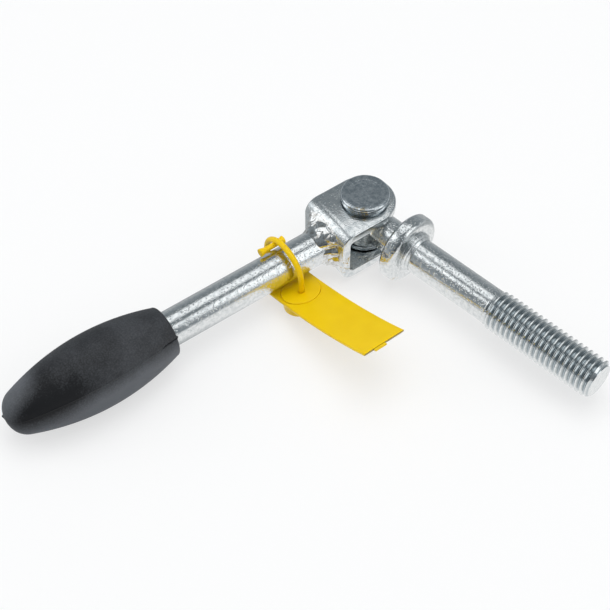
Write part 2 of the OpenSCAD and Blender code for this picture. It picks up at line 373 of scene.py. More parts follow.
@dataclass(frozen=True)
class MouldedRubber:
    """Black nitrile rubber, moulded in two halves.

    The mould leaves a dull, slightly greasy skin: charcoal with a patchy grey haze and fine dust, and no
    sharp highlight.
    A painted sheen from the floor lightens the lower half, a soft painted highlight lightens the tip, and
    painted shade darkens a spot near the tip.
    """

    axis: Axis
    parting_up: Point
    tip_mm: Point
    dark_mm: Point
    name: str = "moulded_black_rubber"
    tint: str = "#121316"
    # Grey of the haze and dust, also used for the painted sheen.
    bloom_and_sheen: str = "#5F6267"
    cloud_mm: float = 13.0
    grain_mm: float = 0.45
    grain_depth_mm: float = 0.02
    tip_reach_mm: float = 11.0
    dark_reach_mm: float = 17.0
    patch_bloom: tuple[float, float] = (0.1, 0.3)
    # Painted shade at the dark spot near the tip, and painted sheen on the lower half and at the tip.
    painted_shade_depth: float = -0.35
    lower_painted_sheen: float = 1.1
    lower_mm: tuple[float, float] = (-6.0, 0.1)
    tip_painted_sheen: float = 0.8
    speck_bloom: float = 0.25
    core: float = 0.2
    tip_core: float = 0.25
    roughness: tuple[float, float] = (0.50, 0.66)

    def material(self) -> bpy.types.Material:
        """Builds the rubber.

        Returns:
            The material.
        """
        material, tree = empty_material(self.name)
        place = add(tree, "TexCoord").outputs["Object"]
        across = self.axis.split(tree, place)[2]
        cloud = add(tree, "TexNoise", {"Vector": place, "Scale": per_mm(self.cloud_mm), "Detail": 5.0,
                                       "Roughness": 0.6})
        patch = add(tree, "MapRange", {"Value": cloud.outputs["Fac"], "From Min": 0.36, "From Max": 0.68,
                                       "To Min": self.patch_bloom[0], "To Max": self.patch_bloom[1]},
                    interpolation_type="SMOOTHSTEP")
        # Painted shade: the rubber is darkened round a spot above the parting near the tip.
        near_dark = add(tree, "VectorMath", {0: place, 1: Vector(self.dark_mm) * MM},
                        operation="DISTANCE")
        painted_shade_spot = add(tree, "MapRange", {"Value": near_dark.outputs["Value"],
                                       "From Min": self.core * self.dark_reach_mm * MM,
                                       "From Max": self.dark_reach_mm * MM,
                                       "To Min": self.painted_shade_depth, "To Max": 0.0},
                    interpolation_type="SMOOTHSTEP")
        # Painted reflection of the floor: the lower half, below the parting, is lightened.
        side = add(tree, "VectorMath", {0: across, 1: self.parting_up}, operation="DOT_PRODUCT")
        below = add(tree, "MapRange", {"Value": side.outputs["Value"], "From Min": self.lower_mm[0] * MM,
                                       "From Max": self.lower_mm[1] * MM,
                                       "To Min": self.lower_painted_sheen, "To Max": 0.0})
        # Painted highlight: the rubber is lightened round the tip.
        away = add(tree, "VectorMath", {0: place, 1: Vector(self.tip_mm) * MM}, operation="DISTANCE")
        tip = add(tree, "MapRange", {"Value": away.outputs["Value"],
                                     "From Min": self.tip_core * self.tip_reach_mm * MM,
                                     "From Max": self.tip_reach_mm * MM,
                                     "To Min": self.tip_painted_sheen, "To Max": 0.0},
                  interpolation_type="SMOOTHSTEP")
        grain = add(tree, "TexNoise", {"Vector": place, "Scale": per_mm(self.grain_mm), "Detail": 3.0})
        speck = add(tree, "MapRange", {"Value": grain.outputs["Fac"], "From Min": 0.4, "From Max": 0.8,
                                       "To Max": self.speck_bloom})
        painted_sheen = add(tree, "Math", {0: below.outputs["Result"], 1: tip.outputs["Result"]}, operation="ADD")
        bloom_and_shade = add(tree, "Math", {0: patch.outputs["Result"], 1: painted_shade_spot.outputs["Result"]}, operation="ADD")
        dust_and_shade = add(tree, "Math", {0: bloom_and_shade.outputs[0], 1: speck.outputs["Result"]}, operation="ADD")
        tone = add(tree, "Math", {0: painted_sheen.outputs[0], 1: dust_and_shade.outputs[0]}, operation="ADD",
                   use_clamp=True)
        # The mix carries the haze and dust together with the painted sheen and painted shade.
        colour = add(tree, "Mix", {"Factor": tone.outputs[0], 6: linear(self.tint), 7: linear(self.bloom_and_sheen)},
                     data_type="RGBA")
        dull = add(tree, "MapRange", {"Value": cloud.outputs["Fac"], "From Min": 0.3, "From Max": 0.7,
                                      "To Min": self.roughness[0], "To Max": self.roughness[1]})
        skin = add(tree, "Bump", {"Strength": 1.0, "Distance": self.grain_depth_mm * MM,
                                  "Height": grain.outputs["Fac"]})
        shader = add(tree, "BsdfPrincipled", {"Base Color": colour.outputs[2], "IOR": 1.5,
                                              "Specular IOR Level": 0.35,
                                              "Roughness": dull.outputs["Result"],
                                              "Normal": skin.outputs[0]})
        add(tree, "OutputMaterial", {"Surface": shader.outputs[0]})
        return material


@dataclass(frozen=True)
class MouldedPlastic:
    """Yellow polyethylene, moulded thin.

    It is waxy and saturated, with a soft gloss, and light that enters its edge makes it glow.
    """

    cut: Axis
    name: str = "moulded_yellow_polyethylene"
    tint: str = "#F3CC00"
    deep: str = "#EEC600"
    cloud_mm: float = 9.0
    grain_mm: float = 0.6
    grain_depth_mm: float = 0.008
    roughness: tuple[float, float] = (0.30, 0.42)
    glow_mm: float = 0.5
    # Painted shade: a thin dark band along the cut end face, which faces down.
    cut_shade_tint: str = "#5E5210"
    cut_shade_share: float = 0.75
    cut_fade_mm: tuple[float, float] = (0.06, 0.12)

    def material(self) -> bpy.types.Material:
        """Builds the plastic.

        Returns:
            The material.
        """
        material, tree = empty_material(self.name)
        place = add(tree, "TexCoord").outputs["Object"]
        cloud = add(tree, "TexNoise", {"Vector": place, "Scale": per_mm(self.cloud_mm), "Detail": 4.0})
        tone = add(tree, "MapRange", {"Value": cloud.outputs["Fac"], "From Min": 0.35, "From Max": 0.65})
        colour = add(tree, "Mix", {"Factor": tone.outputs["Result"], 6: linear(self.tint),
                                   7: linear(self.deep)}, data_type="RGBA")
        dull = add(tree, "MapRange", {"Value": cloud.outputs["Fac"], "From Min": 0.3, "From Max": 0.7,
                                      "To Min": self.roughness[0], "To Max": self.roughness[1]})
        # Painted shade along the cut end face.
        off = add(tree, "Math", {0: self.cut.split(tree, place)[0]}, operation="ABSOLUTE")
        cut_shade_band = add(tree, "MapRange", {"Value": off.outputs[0], "From Min": self.cut_fade_mm[0] * MM,
                                        "From Max": self.cut_fade_mm[1] * MM,
                                        "To Min": self.cut_shade_share, "To Max": 0.0})
        colour = add(tree, "Mix", {"Factor": cut_shade_band.outputs["Result"], 6: colour.outputs[2],
                                   7: linear(self.cut_shade_tint)}, data_type="RGBA")
        grain = add(tree, "TexNoise", {"Vector": place, "Scale": per_mm(self.grain_mm), "Detail": 2.0})
        skin = add(tree, "Bump", {"Strength": 1.0, "Distance": self.grain_depth_mm * MM,
                                  "Height": grain.outputs["Fac"]})
        shader = add(tree, "BsdfPrincipled", {"Base Color": colour.outputs[2], "IOR": 1.5,
                                              "Specular IOR Level": 0.28,
                                              "Roughness": dull.outputs["Result"],
                                              "Subsurface Weight": 0.12,
                                              "Subsurface Radius": (1.0, 0.7, 0.1),
                                              "Subsurface Scale": self.glow_mm * MM,
                                              "Normal": skin.outputs[0]})
        add(tree, "OutputMaterial", {"Surface": shader.outputs[0]})
        return material


def softened(corners: Sequence[tuple[float, float, float]], steps: int = 5) -> Profile:
    """Rounds the corners of a profile.

    Args:
        corners: along, radius and rounding of each corner, in millimetres.
        steps: number of steps on each rounding.

    Returns:
        The profile as (along, radius) points.
    """
    points: Profile = []
    for i, (x, r, rounding) in enumerate(corners):
        if rounding == 0 or i in (0, len(corners) - 1):
            points.append((x, r))
            continue
        corner = np.array([x, r])
        back = np.array(corners[i - 1][:2]) - corner
        ahead = np.array(corners[i + 1][:2]) - corner
        back = back / np.linalg.norm(back)
        ahead = ahead / np.linalg.norm(ahead)
        half = math.acos(max(-1.0, min(1.0, float(back @ ahead)))) / 2
        middle = (back + ahead) / np.linalg.norm(back + ahead)
        centre = corner + middle * rounding / math.sin(half)
        start = corner + back * rounding / math.tan(half) - centre
        end = corner + ahead * rounding / math.tan(half) - centre
        first = math.atan2(start[1], start[0])
        sweep = (math.atan2(end[1], end[0]) - first + math.pi) % (2 * math.pi) - math.pi
        for k in range(steps + 1):
            a = first + sweep * k / steps
            points.append((centre[0] + rounding * math.cos(a), centre[1] + rounding * math.sin(a)))
    return points


def loft(rings: Sequence[np.ndarray], ends: Ends = Ends.CAPPED) -> Shell:
    """Skins a row of closed rings with quads.

    Args:
        rings: arrays with the same number of points.
        ends: whether the first and last rings are capped or joined to each other.

    Returns:
        The points and the faces.
    """
    count = len(rings[0])
    points = np.concatenate(rings)
    faces: list[tuple[int, ...]] = []
    spans = len(rings) if ends is Ends.JOINED else len(rings) - 1
    for k in range(spans):
        a, b = k * count, (k + 1) % len(rings) * count
        for j in range(count):
            n = (j + 1) % count
            faces.append((a + j, a + n, b + n, b + j))
    if ends is Ends.CAPPED:
        faces.append(tuple(reversed(range(count))))
        faces.append(tuple(range(len(points) - count, len(points))))
    return points, faces


def turned_rings(profile: Profile, segments: int) -> list[np.ndarray]:
    """Turns a profile about the X axis.

    Args:
        profile: (along, radius) points in millimetres.
        segments: points on each ring.

    Returns:
        One ring for each point of the profile.
    """
    angles = np.arange(segments) * 2 * math.pi / segments
    return [np.c_[np.full(segments, x), r * np.cos(angles), r * np.sin(angles)] for x, r in profile]


def mesh_of(name: str, shell: Shell, place: Matrix) -> bpy.types.Mesh:
    """Makes a mesh in the part's frame from a closed shell in millimetres.

    Args:
        name: the mesh's name.
        shell: its points and faces.
        place: moves the shell's frame, in metres, to the part's frame.

    Returns:
        The mesh, with its faces turned outwards.
    """
    build = bmesh.new()
    verts = [build.verts.new(place @ (Vector(p) * MM)) for p in shell[0]]
    for face in shell[1]:
        build.faces.new([verts[i] for i in face])
    bmesh.ops.remove_doubles(build, verts=build.verts, dist=1e-7)
    bmesh.ops.recalc_face_normals(build, faces=build.faces)
    mesh = bpy.data.meshes.new(name)
    build.to_mesh(mesh)
    build.free()
    return mesh


def reshaped(mesh: bpy.types.Mesh, steps: Sequence[tuple[str, dict[str, Any]]]) -> bpy.types.Mesh:
    """Runs modifiers on a mesh and keeps the result.

    Args:
        mesh: the mesh to change.
        steps: each modifier's type and settings, in order.

    Returns:
        A new mesh.
    """
    holder = bpy.data.objects.new(mesh.name + "_holder", mesh)
    bpy.context.scene.collection.objects.link(holder)
    for kind, settings in steps:
        modifier = holder.modifiers.new(kind.lower(), kind)
        for key, value in settings.items():
            setattr(modifier, key, value)
    seen = holder.evaluated_get(bpy.context.evaluated_depsgraph_get())
    made = bpy.data.meshes.new_from_object(seen)
    made.name = mesh.name
    bpy.data.objects.remove(holder)
    return made


def worked(mesh: bpy.types.Mesh, other: bpy.types.Mesh, join: Join = Join.ADD) -> bpy.types.Mesh:
    """Adds one solid to another, or cuts it out, in one skin.

    Args:
        mesh: the first solid.
        other: the solid to add or cut.
        join: which of the two.

    Returns:
        The new mesh.
    """
    tool = bpy.data.objects.new(other.name + "_tool", other)
    bpy.context.scene.collection.objects.link(tool)
    both = reshaped(mesh, [("BOOLEAN", {"object": tool, "operation": join.value, "solver": "EXACT"})])
    bpy.data.objects.remove(tool)
    return both


def cad_copy(node: str, keep_below_x: Optional[float] = None) -> bpy.types.Mesh:
    """Copies a CAD node's mesh, with its flat faces whole again.

    Args:
        node: the node's name.
        keep_below_x: if given, the copy ends at this X, in metres, in a flat cap.

    Returns:
        The copy.
    """
    build = bmesh.new()
    build.from_mesh(frame["nodes"][node].data)
    bmesh.ops.remove_doubles(build, verts=build.verts, dist=1e-7)
    if keep_below_x is not None:
        whole = build.verts[:] + build.edges[:] + build.faces[:]
        bmesh.ops.bisect_plane(build, geom=whole, plane_co=(keep_below_x, 0, 0), plane_no=(1, 0, 0),
                               clear_outer=True)
        bmesh.ops.holes_fill(build, edges=[e for e in build.edges if e.is_boundary])
    bmesh.ops.dissolve_limit(build, angle_limit=math.radians(0.5), verts=build.verts, edges=build.edges)
    bmesh.ops.recalc_face_normals(build, faces=build.faces)
    mesh = bpy.data.meshes.new(node + "_copy")
    build.to_mesh(mesh)
    build.free()
    return mesh


def show(name: str, mesh: bpy.types.Mesh, material: bpy.types.Material, body: Body,
         nodes: Sequence[str], sharp_deg: float = 40.0) -> bpy.types.Object:
    """Puts a finished piece in the scene in place of its CAD nodes.

    Args:
        name: the piece's name.
        mesh: its mesh, in the part's frame.
        material: its finish.
        body: the body it rides on.
        nodes: the CAD nodes that it stands for.
        sharp_deg: edges that turn more than this stay sharp.

    Returns:
        The piece.
    """
    mesh.name = name
    mesh.materials.clear()
    mesh.materials.append(material)
    mesh.shade_smooth()
    mesh.set_sharp_from_angle(angle=math.radians(sharp_deg))
    piece = bpy.data.objects.new(name, mesh)
    bpy.context.scene.collection.objects.link(piece)
    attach(piece, body.value)
    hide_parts(*nodes)
    triangles = sum(len(face.vertices) - 2 for face in mesh.polygons)
    log.info("%s: %d triangles, rides on %s", name, triangles, body.value)
    return piece


PIN_MM: Point = tuple(1000 * v for v in frame["joints"][0]["pos_m"])


@dataclass
class HandleFrame:
    """Where the handle lies: X runs along the rod from the pin axis, and Z is up."""

    angle_deg: float = 101.2
    level_mm: float = -0.925

    def matrix(self) -> Matrix:
        """Moves a point in metres from the rod's frame to the part's frame."""
        turn = Matrix.Rotation(math.radians(-self.angle_deg), 4, "Z")
        drop = Matrix.Translation((0, 0, self.level_mm * MM))
        return Matrix.Translation(Vector(PIN_MM) * MM) @ turn @ drop

    def point(self, x: float, y: float, z: float) -> Point:
        """A point of the rod's frame in the part's frame, both in millimetres."""
        return tuple(self.matrix() @ (Vector((x, y, z)) * MM) / MM)

    def axis(self) -> Axis:
        """The rod's own axis."""
        turn = math.radians(self.angle_deg)
        return Axis((PIN_MM[0], PIN_MM[1], self.level_mm), (math.cos(turn), -math.sin(turn), 0.0))


@dataclass
class EyeScrew:
    """The screw: a forged eye and neck, a collar, a shoulder, a plain shank and a rolled thread."""

    thread_d: float = 12.0
    pitch: float = 1.75
    depth_share: float = 0.6134
    runout_lead: float = 0.6
    runout_pitches: float = 1.3
    crest_half: float = 0.02
    root_half: float = 0.48
    thread_start: float = 30.0
    tip_x: float = 67.0
    tip_chamfer: float = 1.1
    shank_d: float = 10.75
    shoulder_d: float = 13.0
    shoulder_len: float = 2.2
    groove_count: int = 3
    groove_pitch: float = 0.55
    groove_half: float = 0.14
    groove_depth: float = 0.16
    collar_d: float = 21.0
    collar_t: float = 4.6
    collar_round: float = 1.7
    collar_chamfer: float = 0.7
    eye_overlap: float = 1.2
    forging_voxel: float = 0.2
    segments: int = 120
    steps_per_pitch: int = 20
    finish: ZincPlate = field(default_factory=lambda: ZincPlate(
        "zinc_plate_on_turned_screw", Axis((0.0, 0.0, 0.0), (1.0, 0.0, 0.0)), Lay.TURNED,
        stain_grain_mm=1.6, stain_line=0.07, grain_until_mm=30.0, root_radius_mm=4.95,
        root_until_mm=66.95, stains=(Stain((-2.4, -8.2, -6.6), 3.4),)))

    def _shoulder_radius(self, x: float) -> float:
        """Radius of the shoulder without its grooves: a step, then a cone down to the shank."""
        return min(self.shoulder_d / 2, self.shank_d / 2 + self.shoulder_len - x)

    def _plain_profile(self) -> Profile:
        """Profile of the collar, the grooved shoulder and the shank, up to the thread.

        Returns:
            The profile as (along, radius) points in millimetres.
        """
        rim, shank = self.collar_d / 2, self.shank_d / 2
        corners = [
            (-self.collar_t, 3.0, 0), (-self.collar_t, rim - self.collar_chamfer, 0.25),
            (-self.collar_t + self.collar_chamfer, rim, 0.4), (0.0, rim, self.collar_round),
            (0.0, self.shoulder_d / 2, 0.1)]
        for k in range(self.groove_count):
            x, half = self.groove_pitch * (k + 0.75), self.groove_half
            corners += [(x - half, self._shoulder_radius(x - half), 0),
                        (x, self._shoulder_radius(x) - self.groove_depth, 0),
                        (x + half, self._shoulder_radius(x + half), 0)]
        corners += [(self.shoulder_len, shank - 0.05, 0), (self.shoulder_len + 0.3, shank - 0.05, 0)]
        start, end = self.shoulder_len + 0.4, self.thread_start - 1.0
        edges = (start, start + 0.08, start + 0.2), (end - 0.2, end - 0.08, end)
        corners += [(x, shank, 0) for x in (*edges[0], *np.linspace(start, end, 12)[1:-1], *edges[1])]
        return softened(corners)

    def _thread_radius(self, x: float, turn: float) -> float:
        """Radius of the rolled thread.

        Args:
            x: distance along the screw.
            turn: angle about the screw, as a share of one turn.

        Returns:
            The radius in millimetres.
        """
        depth = self.depth_share * self.pitch
        phase = abs((x / self.pitch - turn) % 1.0 - 0.5)
        fall = min(1.0, max(0.0, (phase - self.crest_half) / (self.root_half - self.crest_half)))
        cut = self.thread_d / 2 - depth * smooth(fall)
        shank = self.shank_d / 2
        runout = smooth((x - self.thread_start + self.runout_lead) / (self.runout_pitches * self.pitch))
        tip = self.thread_d / 2 - self.tip_chamfer + self.tip_x - x
        return min(shank + (cut - shank) * runout, tip)

    def _turned_mesh(self) -> bpy.types.Mesh:
        """Mesh of everything on the collar's side of the neck.

        Returns:
            The mesh, closed at both ends.
        """
        rings = turned_rings(self._plain_profile(), self.segments)
        step = self.pitch / self.steps_per_pitch
        count = math.ceil((self.tip_x - self.thread_start + 0.8) / step)
        turns = np.arange(self.segments) / self.segments
        cosines, sines = np.cos(2 * math.pi * turns), np.sin(2 * math.pi * turns)
        for x in np.linspace(self.thread_start - 0.8, self.tip_x, count):
            radii = np.array([self._thread_radius(x, t) for t in turns])
            rings.append(np.c_[np.full(self.segments, x), radii * cosines, radii * sines])
        return mesh_of("turned_length", loft(rings), Matrix.Identity(4))

    def build(self) -> bpy.types.Object:
        """Makes the screw in one skin.

        Returns:
            The piece.
        """
        forged = cad_copy("screw", (self.eye_overlap - self.collar_t) * MM)
        forged = reshaped(forged, [
            ("REMESH", {"mode": "VOXEL", "voxel_size": self.forging_voxel * MM}),
            ("SMOOTH", {"factor": 0.5, "iterations": 5})])
        mesh = worked(self._turned_mesh(), forged)
        return show("eye_screw", mesh, self.finish.material(), Body.SCREW, ["screw"])


@dataclass
class Hinge:
    """The bent clevis, the headed pin and the washer under the eye."""

    handle: HandleFrame
    edge_round: float = 0.45
    pin_d: float = 8.0
    head_d: float = 14.6
    head_low: float = 8.3
    head_t: float = 2.9
    head_round: float = 0.6
    seat_t: float = 0.85
    seat_d: float = 13.0
    groove_up: float = 1.65
    groove_w: float = 0.4
    groove_depth: float = 0.2
    peen_d: float = 11.0
    peen_t: float = 1.2
    peen_top: float = -10.15
    washer_d: float = 14.5
    washer_t: float = 1.4
    washer_low: float = -6.65
    washer_bore: float = 8.4
    segments: int = 128

    def strip_finish(self) -> ZincPlate:
        """Zinc plate over rolled strip, mottled where the strip was dull.

        Returns:
            The finish.
        """
        near_edge = self.handle.point(13.0, 9.2, -2.0)
        return ZincPlate("zinc_plate_on_bent_strip", self.handle.axis(), Lay.PLAIN, shade="#C8CED0",
                         mottle_mm=1.5, grain_mm=0.42, grain_depth_mm=0.034, pit_depth_mm=0.02,
                         roughness=(0.12, 0.32),
                         stain_grain_mm=1.8, stain_line=0.05,
                         stains=(Stain(near_edge, 4.0),))

    def pin_finish(self) -> ZincPlate:
        """Zinc plate over a turned pin, with the lathe's rings on its head.

        Returns:
            The finish.
        """
        return ZincPlate("zinc_plate_on_turned_pin", Axis(PIN_MM, (0.0, 0.0, 1.0)), Lay.TURNED,
                         tint="#DCE1E4", shade="#A9B2B8", mottle_mm=1.2, lay_mm=0.9, lay_depth_mm=0.024,
                         grain_mm=0.45, grain_depth_mm=0.02, pit_depth_mm=0.005, roughness=(0.10, 0.20),
                         stain_grain_mm=1.4, stain_line=0.05,
                         stains=(Stain((-15.5, -6.5, 9.2), 3.4),))

    def _upright(self) -> Matrix:
        """Moves a turned piece's frame, with X as its axis, onto the pin axis."""
        return Matrix.Translation(Vector(PIN_MM) * MM) @ Matrix.Rotation(math.radians(-90), 4, "Y")

    def _clevis(self) -> bpy.types.Object:
        """The bent strip, with its sheared edges eased.

        Returns:
            The piece.
        """
        mesh = reshaped(cad_copy("clevis"), [("BEVEL", {
            "width": self.edge_round * MM, "segments": 3, "limit_method": "ANGLE",
            "angle_limit": math.radians(40), "miter_outer": "MITER_ARC"})])
        return show("bent_clevis", mesh, self.strip_finish().material(), Body.HANDLE,
                    ["clevis"])

    def _pin(self, material: bpy.types.Material) -> bpy.types.Object:
        """The pin: a grooved head on a narrower seat, a plain body and a peened end.

        Args:
            material: the pin's finish.

        Returns:
            The piece.
        """
        head, body, peen = self.head_d / 2, self.pin_d / 2, self.peen_d / 2
        top, foot = self.head_low + self.head_t, self.peen_top - self.peen_t
        groove, rim = self.head_low + self.groove_up, self.head_low + self.seat_t
        profile = softened([
            (foot, 0.02, 0), (foot, peen, 0.9), (self.peen_top, peen, 0.15), (self.peen_top, body, 0),
            (self.head_low, body, 0), (self.head_low, self.seat_d / 2, 0), (rim, self.seat_d / 2, 0),
            (rim, head, 0.25), (groove - self.groove_w / 2, head - 0.12, 0.1),
            (groove, head - self.groove_depth - 0.12, 0.1),
            (groove + self.groove_w / 2, head - 0.1, 0.1), (top, head - 0.15, self.head_round),
            (top - 0.06, head - 2.4, 0.5), (top - 0.06, 0.02, 0)])
        mesh = mesh_of("pin", loft(turned_rings(profile, self.segments)), self._upright())
        return show("headed_pin", mesh, material, Body.HANDLE, ["pivot_pin"])

    def _washer(self, material: bpy.types.Material) -> bpy.types.Object:
        """The washer, with its stamped edges eased.

        Args:
            material: the finish that it shares with the pin.

        Returns:
            The piece.
        """
        low, high = self.washer_low, self.washer_low + self.washer_t
        inner, outer, ease = self.washer_bore / 2, self.washer_d / 2, 0.3
        middle = (inner + outer) / 2
        section = softened([
            (low, middle, 0), (low, outer, ease), (high, outer, ease), (high, inner, ease),
            (low, inner, ease), (low, middle, 0)])[:-1]
        mesh = mesh_of("ring", loft(turned_rings(section, self.segments), Ends.JOINED), self._upright())
        return show("loose_washer", mesh, material, Body.HANDLE, ["washer"])

    def build(self) -> list[bpy.types.Object]:
        """Makes the hinge.

        Returns:
            Its pieces.
        """
        plated_pin = self.pin_finish().material()
        return [self._clevis(), self._pin(plated_pin), self._washer(plated_pin)]


@dataclass(frozen=True)
class Lump:
    """A blob of weld metal with a crease round its foot: place from the web, angle, sizes, height."""

    at_mm: float
    turn_deg: float
    long_mm: float
    spread_deg: float
    high_mm: float

    def height(self, x: float, turn_deg: float) -> float:
        """How far the blob stands above the bead at a place."""
        out = ((x - self.at_mm) / self.long_mm) ** 2 + ((turn_deg - self.turn_deg) / self.spread_deg) ** 2
        return self.high_mm * max(0.0, 1.0 - out)


@dataclass
class Handle:
    """The drawn rod, its weld on the web, and the rubber grip."""

    handle: HandleFrame
    rod_d: float = 10.6
    web_reach: float = 14.9
    rod_end: float = 112.0
    bend_out: float = 4.3
    web_half: float = 9.225
    weld_len: float = 5.2
    weld_rise: float = 3.4
    weld_top: float = 8.2
    weld_far: float = 10.6
    weld_heap: tuple[float, float] = (95.0, 50.0)
    weld_hollows: tuple[Point, ...] = ((33.0, 13.0, 1.0), (2.0, 10.0, 0.8))
    weld_level: tuple[float, float] = (30.0, 150.0)
    level_fade: float = 18.0
    weld_root: float = 0.25
    weld_lap: float = 0.6
    weld_sections: int = 300
    weld_steps: int = 40
    weld_lumps: tuple[Lump, ...] = (
        Lump(0.9, 84.0, 1.7, 30.0, 0.45), Lump(0.7, 58.0, 1.3, 12.0, 0.45),
        Lump(1.8, -32.0, 2.6, 26.0, 0.5), Lump(0.8, 16.0, 0.8, 9.0, 0.3))
    grip_len: float = 51.4
    grip_d: float = 21.95
    mouth_d: float = 14.9
    tip_d: float = 13.2
    widest_at: float = 22.5
    tip_round: float = 4.2
    handle_reach: float = 121.0
    ridge_h: float = 0.1
    ridge_w: float = 0.5
    mismatch: float = 0.12
    ridge_turn_deg: float = 31.0
    mouth_round: float = 0.8
    slit_len: float = 7.5
    slit_depth: float = 0.6
    slit_w: float = 0.36
    slit_ragged: float = 0.3
    flash_len: float = 0.6
    nib_at: float = 50.7
    nib_h: float = 0.6
    nib_half: float = 0.3

    def rod_finish(self) -> ZincPlate:
        """Zinc plate over drawn bar."""
        return ZincPlate("zinc_plate_on_drawn_bar", self.handle.axis(), Lay.DRAWN, pit_depth_mm=0.04,
                         lay_depth_mm=0.009)

    def weld_finish(self) -> ZincPlate:
        """Zinc plate over a weld bead, with chromate left in the hollows of its near side.

        Returns:
            The finish.
        """
        return ZincPlate("zinc_plate_on_weld", self.handle.axis(), Lay.PLAIN, shade="#B4B2AE",
                         roughness=(0.12, 0.22), grain_depth_mm=0.012, grain_mm=0.8, pit_depth_mm=0.006,
                         stain_tint="#B7A574", stain_line=0.014,
                         stains=(Stain(self.handle.point(16.6, 8.0, 1.0), 2.6),))

    def _rod(self) -> bpy.types.Object:
        """The round bar, from the web into the grip.

        Returns:
            The piece.
        """
        profile = softened([(self.web_reach, 0.02, 0), (self.web_reach, self.rod_d / 2, 0),
                            (self.rod_end, self.rod_d / 2, 0.6), (self.rod_end, 0.02, 0)])
        mesh = mesh_of("bar", loft(turned_rings(profile, 128)), self.handle.matrix())
        return show("drawn_rod", mesh, self.rod_finish().material(), Body.HANDLE,
                    ["handle_rod"])

    def _web_back(self, z: float) -> float:
        """How far the outer face of the strip lies behind the web at a height z from the rod axis.

        Args:
            z: height from the rod axis.

        Returns:
            The distance in millimetres.
        """
        over = abs(z) - (self.web_half - self.bend_out)
        if over <= 0:
            return 0.0
        return self.bend_out - math.sqrt(max(0.0, self.bend_out ** 2 - min(over, self.bend_out) ** 2))

    def _weld_section(self, angle: float) -> np.ndarray:
        """One section of the bead.

        Args:
            angle: direction from the rod axis, from level on the near side, turning up.

        Returns:
            A closed ring of points in the rod's frame.
        """
        bar, turn = self.rod_d / 2, math.degrees(angle)
        heap = hump(turn, *self.weld_heap, 4)
        hollow = sum(share * hump(turn, at, wide) for at, wide, share in self.weld_hollows)
        rise = self.weld_rise * (0.82 - 0.40 * hollow)
        level = min(self.weld_top / max(math.sin(angle), 0.5), self.weld_far) - bar
        first, last = self.weld_level
        along = smooth((turn - first) / self.level_fade) * smooth((last - turn) / self.level_fade)
        rise += (level - rise) * along
        reach = self.weld_len * (0.85 - 0.34 * hollow)
        edge = -self._web_back((bar + rise) * math.sin(angle))
        hang = 0.28 + 0.10 * heap
        points = [(edge - self.weld_lap, bar + rise)]
        for s in np.linspace(0, 1, self.weld_steps + 1):
            x = edge * (1 - s) ** 2 + 2 * s * (1 - s) * (edge + hang * (reach - edge)) + reach * s * s
            r = bar + rise * ((1 - s) ** 2 + 2 * s * (1 - s) * hang)
            points.append((x, r))
        points += [(reach, bar - self.weld_root), (edge - self.weld_lap, bar - self.weld_root)]
        out = []
        for x, r in points:
            spot = Vector((x, r * math.cos(angle), r * math.sin(angle)))
            if r > bar + 0.02 and x >= edge:
                bumps = 0.25 * noise.noise(spot * 0.35) + 0.05 * along * noise.noise(spot * 1.1)
                bumps *= 0.4 + 0.6 * along
                wobble = 6 * noise.noise(spot * 0.6 + Vector((3.1, 5.7, 1.9)))
                blobs = max(lump.height(x + 0.04 * wobble, turn + wobble) for lump in self.weld_lumps)
                crease = hump(noise.noise(spot * 0.36 + Vector((7.3, 2.1, 4.7))), 0.0, 0.035)
                r += (bumps + blobs - 0.2 * heap * crease) * smooth((r - bar) / 0.7)
            out.append((self.web_reach + x, r * math.cos(angle), r * math.sin(angle)))
        return np.array(out)

    def _weld(self) -> bpy.types.Object:
        """The lumpy fillet bead round the rod.

        Returns:
            The piece.
        """
        sections = [self._weld_section(2 * math.pi * k / self.weld_sections - math.pi)
                    for k in range(self.weld_sections)]
        mesh = mesh_of("bead", loft(sections, Ends.JOINED), self.handle.matrix())
        return show("weld_bead", mesh, self.weld_finish().material(), Body.HANDLE,
                    ["weld"], 70)

    def _barrel(self, u: float) -> float:
        """Radius of the grip at a distance u from its mouth.

        Args:
            u: distance along the grip.

        Returns:
            The radius in millimetres.
        """
        end = self.grip_len - self.tip_round
        if u < self.widest_at:
            return self.grip_d / 2 - (self.grip_d - self.mouth_d) / 2 * (1 - u / self.widest_at) ** 2
        share = (u - self.widest_at) / (end - self.widest_at)
        return self.grip_d / 2 - (self.grip_d - self.tip_d) / 2 * share ** 2

    def _grip_profile(self) -> Profile:
        """Outline of the grip from the rim of its bore to its tip.

        Returns:
            The profile as (along, radius) points in millimetres.
        """
        bore, end = self.rod_d / 2 + 0.03, self.grip_len - self.tip_round
        lip = [(self.mouth_round * (1 - math.cos(a)),
                self._barrel(self.mouth_round) - self.mouth_round * (1 - math.sin(a)))
               for a in np.linspace(0, math.pi / 2, 8)]
        side = [(u, self._barrel(u)) for u in np.linspace(self.mouth_round, end, 90)[1:]]
        taper = (self.grip_d - self.tip_d) / (end - self.widest_at) * self.tip_round
        cap = [(end + self.tip_round * math.sin(a),
                (self.tip_d / 2 - taper * math.sin(a) * (1 - 0.7 * math.sin(a))) * math.cos(a))
               for a in np.linspace(0, math.pi / 2, 22)[1:-1]]
        return [(6.0, bore), (0.0, bore)] + lip + side + cap + [(self.grip_len, 0.05)]

    def _grip_finish(self) -> MouldedRubber:
        """Rubber with a painted sheen below the mould's parting and at the tip, and painted shade at a spot
        near the tip.

        Returns:
            The finish.
        """
        ridge = math.radians(self.ridge_turn_deg)
        place = Matrix.Rotation(math.radians(-self.handle.angle_deg), 3, "Z")
        up = place @ Vector((0.0, -math.sin(ridge), math.cos(ridge)))
        return MouldedRubber(self.handle.axis(), tuple(up), self.handle.point(117.0, -4.5, 5.5),
                             self.handle.point(112.0, 6.0, 5.5))

